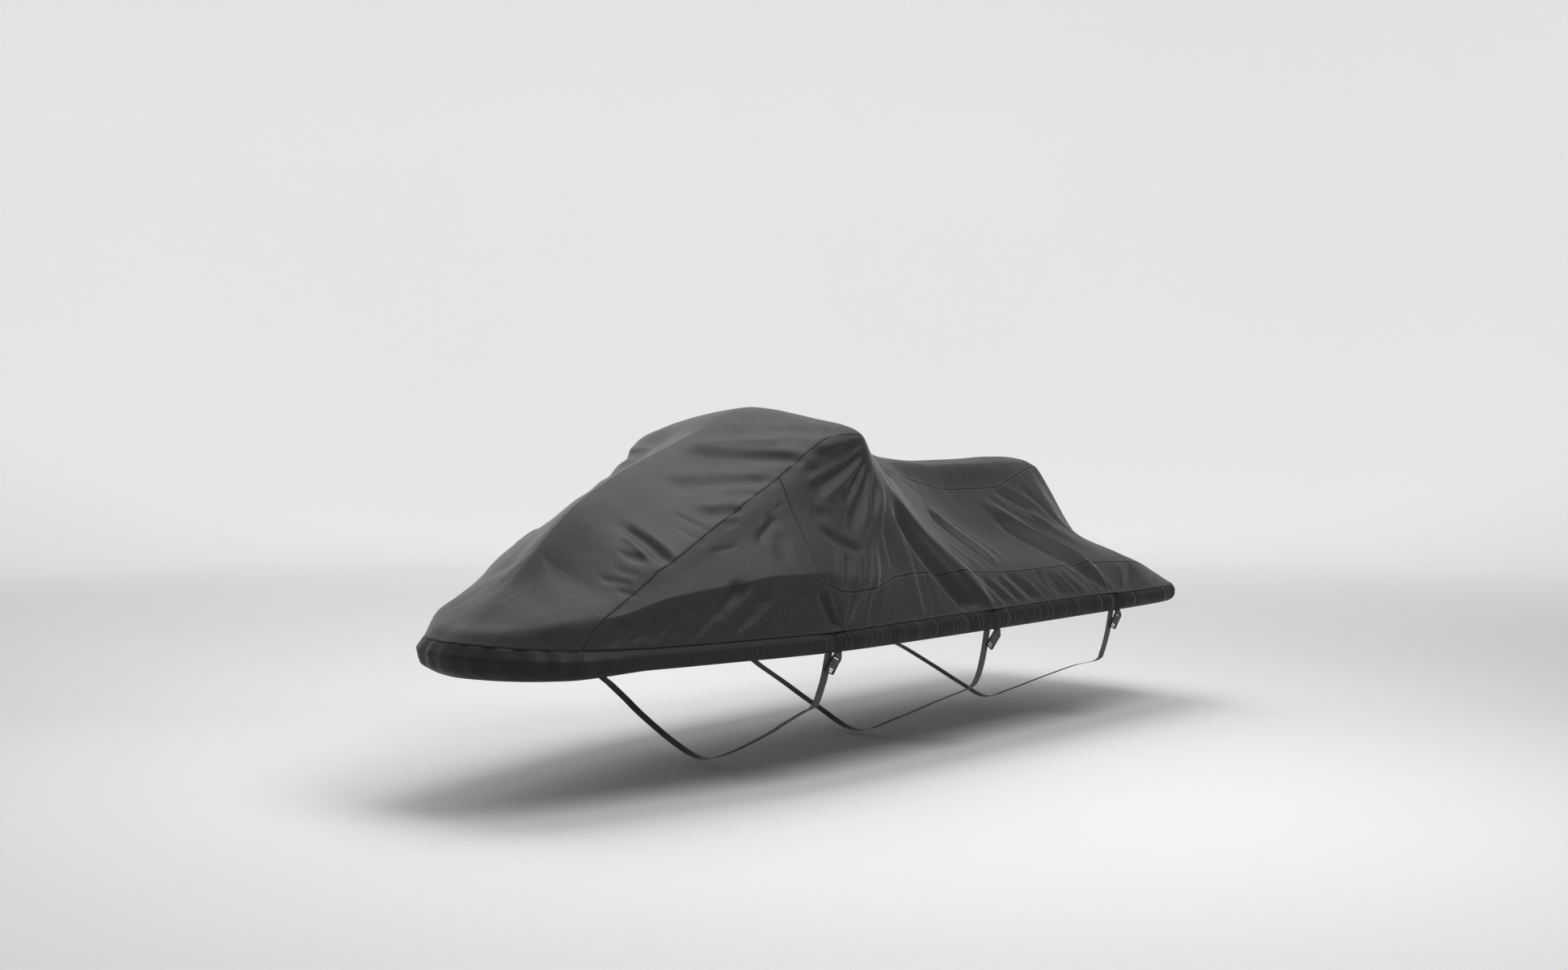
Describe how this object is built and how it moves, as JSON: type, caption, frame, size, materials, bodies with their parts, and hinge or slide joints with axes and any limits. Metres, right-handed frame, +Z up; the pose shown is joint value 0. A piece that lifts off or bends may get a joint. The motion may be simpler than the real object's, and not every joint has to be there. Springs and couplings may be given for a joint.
{
  "type": "fitted watercraft cover",
  "caption": "Fitted black fabric cover for a ride-on personal watercraft, in its worn shape, with an elastic hem band and buckled straps that pass under the craft",
  "frame": {"origin": "underside of the cloth at the crown of the dome over the handlebar, where the form that wears the cover holds it up", "axes": "+X from the bow to the stern, +Y to starboard, +Z up, with the hem level"},
  "size_m": [3.449, 1.2446, 1.2308],
  "materials": {
    "centre_panel": "matt woven polyester with a coated back",
    "upper_side_port": "matt woven polyester with a coated back",
    "upper_side_starboard": "matt woven polyester with a coated back",
    "lower_side_port": "matt woven polyester with a coated back",
    "lower_side_starboard": "matt woven polyester with a coated back",
    "bow_band": "matt woven polyester with a coated back",
    "elastic_band": "matt woven polyester gathered on elastic",
    "strap_front": "flat woven webbing",
    "strap_middle": "flat woven webbing",
    "strap_rear": "flat woven webbing",
    "tab_front": "flat woven webbing",
    "tab_middle": "flat woven webbing",
    "tab_rear": "flat woven webbing",
    "buckle_front_socket": "moulded, slightly glossy",
    "buckle_front_prongs": "moulded, slightly glossy",
    "buckle_middle_socket": "moulded, slightly glossy",
    "buckle_middle_prongs": "moulded, slightly glossy",
    "buckle_rear_socket": "moulded, slightly glossy",
    "buckle_rear_prongs": "moulded, slightly glossy"
  },
  "bodies": {
    "root": {"centre_panel": "centre_panel", "upper_side_port": "upper_side_port", "upper_side_starboard": "upper_side_starboard", "lower_side_port": "lower_side_port", "lower_side_starboard": "lower_side_starboard", "bow_band": "bow_band", "elastic_band": "elastic_band", "strap_front": "strap_front", "strap_middle": "strap_middle", "strap_rear": "strap_rear", "tab_front": "tab_front", "tab_middle": "tab_middle", "tab_rear": "tab_rear", "buckle_front_socket": "buckle_front_socket", "buckle_front_prongs": "buckle_front_prongs", "buckle_middle_socket": "buckle_middle_socket", "buckle_middle_prongs": "buckle_middle_prongs", "buckle_rear_socket": "buckle_rear_socket", "buckle_rear_prongs": "buckle_rear_prongs"}
  },
  "joints": []
}
